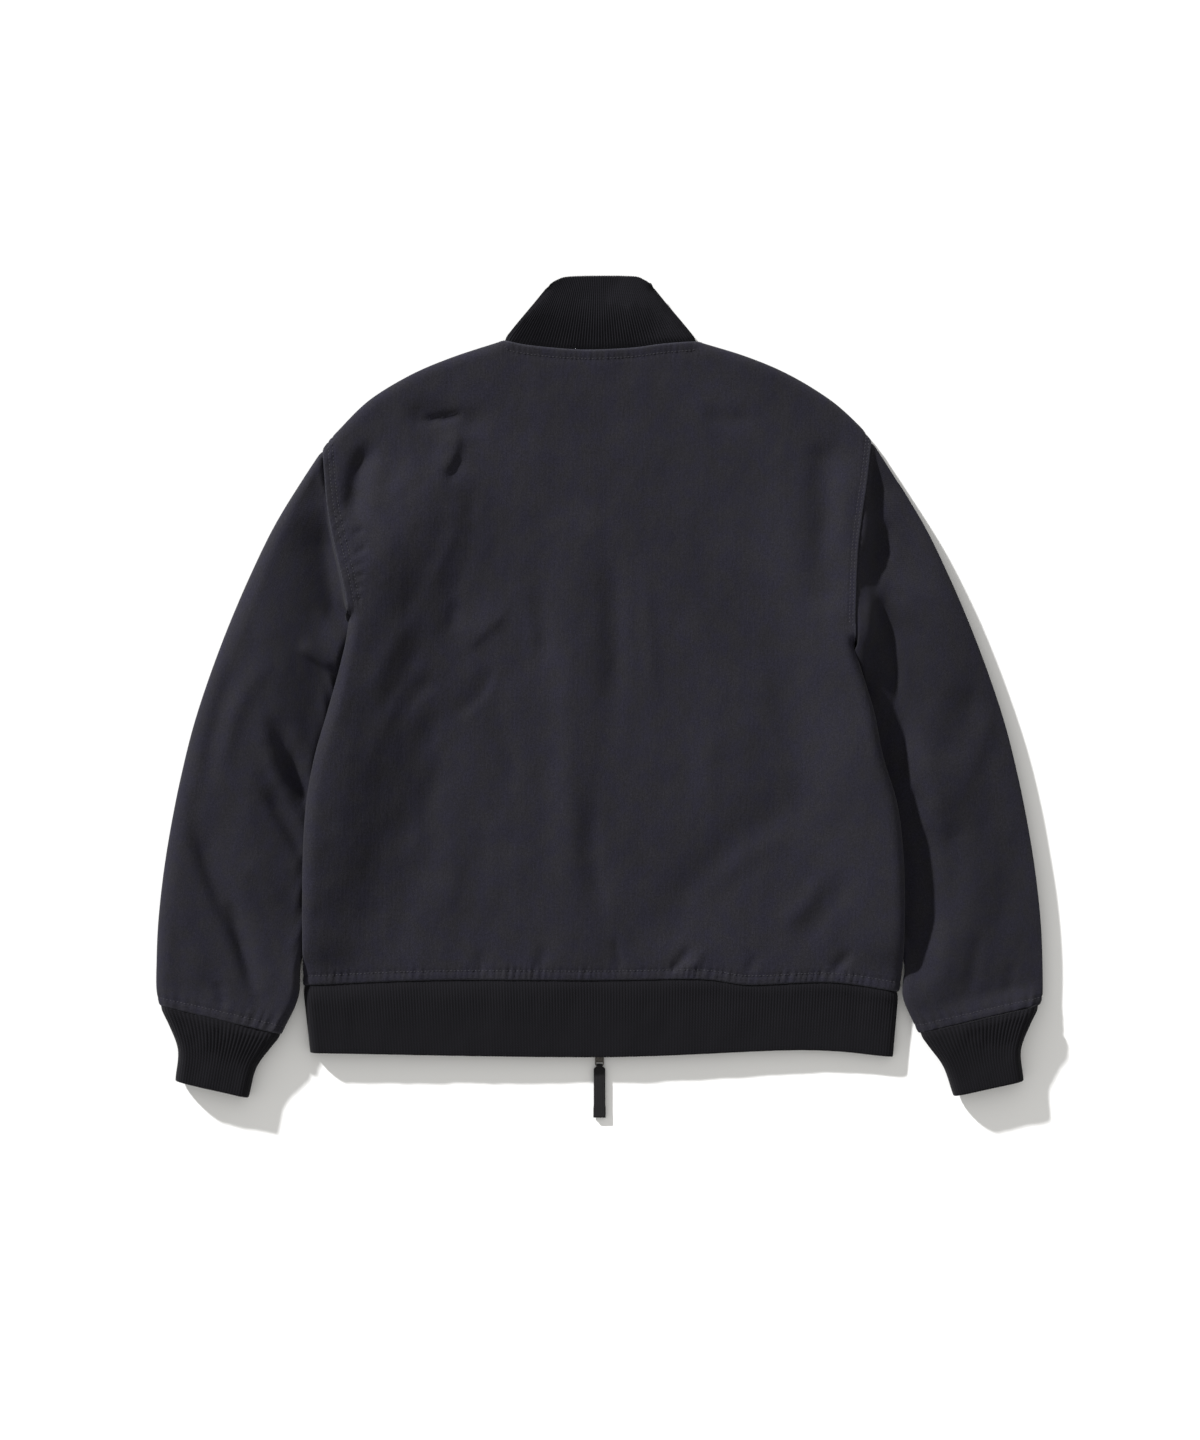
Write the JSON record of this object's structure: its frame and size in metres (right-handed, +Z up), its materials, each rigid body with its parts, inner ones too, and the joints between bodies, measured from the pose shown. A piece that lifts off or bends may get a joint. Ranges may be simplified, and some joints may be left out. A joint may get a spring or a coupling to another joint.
{
  "type": "tanker jacket",
  "caption": "Dark zip-front tanker jacket with rib knit collar, cuffs and hem band, laid flat and face down with its sleeves tucked in under its sides.",
  "frame": {"origin": "middle of the surface that the jacket lies on, under the centre of its outline", "axes": "+X across the jacket to the picture's right, +Y up the picture from the hem to the collar, +Z up from the surface, out of the jacket's back"},
  "size_m": [0.841, 0.8002, 0.0344],
  "materials": {
    "shell": "matt dark navy-charcoal cotton with a fine lengthwise rib and a soft washed look",
    "rib": "near-black rib knit",
    "tape": "woven zip tape",
    "strap": "folded and stitched black pull strap",
    "metal": "dark plated zip metal"
  },
  "bodies": {
    "jacket": {"back": "shell", "front_left": "shell", "front_right": "shell", "sleeve_left": "shell", "sleeve_right": "shell", "collar": "rib", "cuff_left": "rib", "cuff_right": "rib", "hem_rib": "rib", "zip_tape_left": "tape", "zip_tape_right": "tape", "zip_chain": "metal", "slider_lower": "metal", "slider_upper": "metal"},
    "lower_pull": {"link_lower": "metal", "strap_lower": "strap"},
    "upper_pull": {"link_upper": "metal", "strap_upper": "strap"}
  },
  "joints": [
    {"name": "lower_pull_hinge", "type": "hinge", "parent": "jacket", "child": "lower_pull", "pos_m": [0, -0.3345, 0.0025], "axis": [1, 0, 0], "range_deg": [0, 180]},
    {"name": "upper_pull_hinge", "type": "hinge", "parent": "jacket", "child": "upper_pull", "pos_m": [0, 0.324, 0.0025], "axis": [1, 0, 0], "range_deg": [0, 180]}
  ]
}
